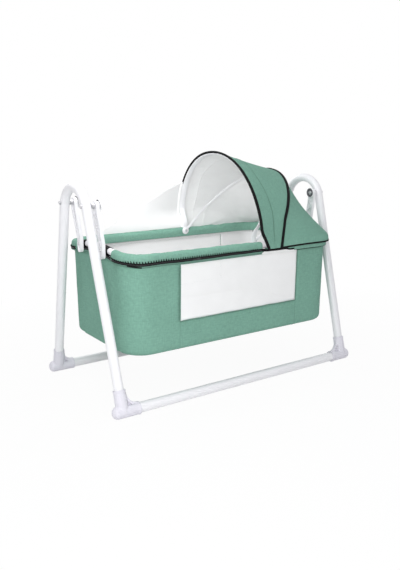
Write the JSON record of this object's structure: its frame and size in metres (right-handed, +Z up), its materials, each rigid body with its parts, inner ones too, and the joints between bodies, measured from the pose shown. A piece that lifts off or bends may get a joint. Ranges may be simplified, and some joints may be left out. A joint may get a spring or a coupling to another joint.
{
  "type": "portable baby cradle",
  "caption": "Portable baby cradle: a zip-on fabric bassinet with mesh windows, a folding hood and a side net, hung on ribbed swing arms between two tube arches.",
  "frame": {"origin": "on the floor, midway between the four corner shoes", "axes": "+X along the length towards the hood end, +Y to the back (the side with the net), +Z up"},
  "size_m": [1.0804, 0.5744, 0.8359],
  "materials": {
    "arch_left": "white powder coat, satin",
    "arch_right": "white powder coat, satin",
    "rail_front": "white powder coat, satin",
    "rail_rear": "white powder coat, satin",
    "corner_shoe_front_left": "pale lavender-grey moulding, fine matt grain",
    "corner_shoe_front_right": "pale lavender-grey moulding, fine matt grain",
    "corner_shoe_rear_left": "pale lavender-grey moulding, fine matt grain",
    "corner_shoe_rear_right": "pale lavender-grey moulding, fine matt grain",
    "pivot_bolt_front_left": "plain zinc-plated steel",
    "pivot_bolt_front_right": "plain zinc-plated steel",
    "pivot_bolt_rear_left": "plain zinc-plated steel",
    "pivot_bolt_rear_right": "plain zinc-plated steel",
    "spacer_front_left": "plain zinc-plated steel",
    "spacer_front_right": "plain zinc-plated steel",
    "spacer_rear_left": "plain zinc-plated steel",
    "spacer_rear_right": "plain zinc-plated steel",
    "hanger_arm_front_left": "white moulding, satin outside and ribbed behind",
    "bearing_front_left": "plain zinc-plated steel",
    "bearing_cap_front_left": "black moulding, matt",
    "hanger_arm_front_right": "white moulding, satin outside and ribbed behind",
    "bearing_front_right": "plain zinc-plated steel",
    "bearing_cap_front_right": "black moulding, matt",
    "hanger_arm_rear_left": "white moulding, satin outside and ribbed behind",
    "bearing_rear_left": "plain zinc-plated steel",
    "bearing_cap_rear_left": "black moulding, matt",
    "hanger_arm_rear_right": "white moulding, satin outside and ribbed behind",
    "bearing_rear_right": "plain zinc-plated steel",
    "bearing_cap_rear_right": "black moulding, matt",
    "rim_frame": "white powder coat, satin",
    "cuff_far": "sage-green polyester canvas, padded",
    "cuff_near_left": "sage-green polyester canvas, padded",
    "cuff_near_right": "sage-green polyester canvas, padded",
    "basket_shell": "sage-green polyester canvas, padded",
    "basket_lining": "white cotton-feel fabric",
    "window_mesh_near": "fine white net",
    "window_mesh_far": "fine white net",
    "base_board": "bare hardboard",
    "mattress": "white cotton-feel fabric",
    "zip_tape": "black woven webbing",
    "zip_slider": "black moulding, matt",
    "hanging_tab_front_left": "black woven webbing",
    "hanging_tab_front_right": "black woven webbing",
    "hanging_tab_rear_left": "black woven webbing",
    "hanging_tab_rear_right": "black woven webbing",
    "lower_pin_front_left": "plain zinc-plated steel",
    "lower_pin_front_right": "plain zinc-plated steel",
    "lower_pin_rear_left": "plain zinc-plated steel",
    "lower_pin_rear_right": "plain zinc-plated steel",
    "hub_pin_near": "plain zinc-plated steel",
    "hub_pin_far": "plain zinc-plated steel",
    "hood_rear_gore": "sage-green polyester canvas, padded",
    "mosquito_net": "fine white net",
    "middle_bow": "white moulded strip, satin",
    "hood_front_gore": "sage-green polyester canvas, padded",
    "front_bow": "white moulded strip, satin"
  },
  "bodies": {
    "stand": {"arch_left": "arch_left", "arch_right": "arch_right", "rail_front": "rail_front", "rail_rear": "rail_rear", "corner_shoe_front_left": "corner_shoe_front_left", "corner_shoe_front_right": "corner_shoe_front_right", "corner_shoe_rear_left": "corner_shoe_rear_left", "corner_shoe_rear_right": "corner_shoe_rear_right", "pivot_bolt_front_left": "pivot_bolt_front_left", "pivot_bolt_front_right": "pivot_bolt_front_right", "pivot_bolt_rear_left": "pivot_bolt_rear_left", "pivot_bolt_rear_right": "pivot_bolt_rear_right", "spacer_front_left": "spacer_front_left", "spacer_front_right": "spacer_front_right", "spacer_rear_left": "spacer_rear_left", "spacer_rear_right": "spacer_rear_right"},
    "hanger_front_left": {"hanger_arm_front_left": "hanger_arm_front_left", "bearing_front_left": "bearing_front_left", "bearing_cap_front_left": "bearing_cap_front_left"},
    "hanger_front_right": {"hanger_arm_front_right": "hanger_arm_front_right", "bearing_front_right": "bearing_front_right", "bearing_cap_front_right": "bearing_cap_front_right"},
    "hanger_rear_left": {"hanger_arm_rear_left": "hanger_arm_rear_left", "bearing_rear_left": "bearing_rear_left", "bearing_cap_rear_left": "bearing_cap_rear_left"},
    "hanger_rear_right": {"hanger_arm_rear_right": "hanger_arm_rear_right", "bearing_rear_right": "bearing_rear_right", "bearing_cap_rear_right": "bearing_cap_rear_right"},
    "bassinet": {"rim_frame": "rim_frame", "cuff_far": "cuff_far", "cuff_near_left": "cuff_near_left", "cuff_near_right": "cuff_near_right", "basket_shell": "basket_shell", "basket_lining": "basket_lining", "window_mesh_near": "window_mesh_near", "window_mesh_far": "window_mesh_far", "base_board": "base_board", "mattress": "mattress", "zip_tape": "zip_tape", "zip_slider": "zip_slider", "hanging_tab_front_left": "hanging_tab_front_left", "hanging_tab_front_right": "hanging_tab_front_right", "hanging_tab_rear_left": "hanging_tab_rear_left", "hanging_tab_rear_right": "hanging_tab_rear_right", "lower_pin_front_left": "lower_pin_front_left", "lower_pin_front_right": "lower_pin_front_right", "lower_pin_rear_left": "lower_pin_rear_left", "lower_pin_rear_right": "lower_pin_rear_right", "hub_pin_near": "hub_pin_near", "hub_pin_far": "hub_pin_far", "hood_rear_gore": "hood_rear_gore", "mosquito_net": "mosquito_net"},
    "middle_bow": {"middle_bow": "middle_bow", "hood_front_gore": "hood_front_gore"},
    "front_bow": {"front_bow": "front_bow"}
  },
  "joints": [
    {"name": "swing_front_left", "type": "hinge", "parent": "stand", "child": "hanger_front_left", "pos_m": [-0.48253, -0.08576, 0.666], "axis": [1, 0, 0], "range_deg": [-20, 20]},
    {"name": "swing_front_right", "type": "hinge", "parent": "stand", "child": "hanger_front_right", "pos_m": [0.48253, -0.08576, 0.666], "axis": [1, 0, 0], "range_deg": [-20, 20]},
    {"name": "swing_rear_left", "type": "hinge", "parent": "stand", "child": "hanger_rear_left", "pos_m": [-0.48253, 0.08576, 0.666], "axis": [1, 0, 0], "range_deg": [-20, 20]},
    {"name": "swing_rear_right", "type": "hinge", "parent": "stand", "child": "hanger_rear_right", "pos_m": [0.48253, 0.08576, 0.666], "axis": [1, 0, 0], "range_deg": [-20, 20]},
    {"name": "basket_level", "type": "hinge", "parent": "hanger_front_left", "child": "bassinet", "pos_m": [-0.467, -0.08576, 0.51833], "axis": [1, 0, 0], "range_deg": [-20, 20]},
    {"name": "hood_middle", "type": "hinge", "parent": "bassinet", "child": "middle_bow", "pos_m": [0.067, 0, 0.508], "axis": [0, 1, 0], "range_deg": [0, 30], "deforming": ["hood_rear_gore", "mosquito_net"]},
    {"name": "hood_front", "type": "hinge", "parent": "middle_bow", "child": "front_bow", "pos_m": [0.067, 0, 0.508], "axis": [0, 1, 0], "range_deg": [0, 30], "deforming": ["hood_front_gore"]}
  ],
  "couplings": [
    {"joint": "swing_front_right", "follows": "swing_front_left", "ratio": 1},
    {"joint": "swing_rear_left", "follows": "swing_front_left", "ratio": 1},
    {"joint": "swing_rear_right", "follows": "swing_front_left", "ratio": 1},
    {"joint": "basket_level", "follows": "swing_front_left", "ratio": -1},
    {"joint": "hood_front", "follows": "hood_middle", "ratio": 1}
  ]
}
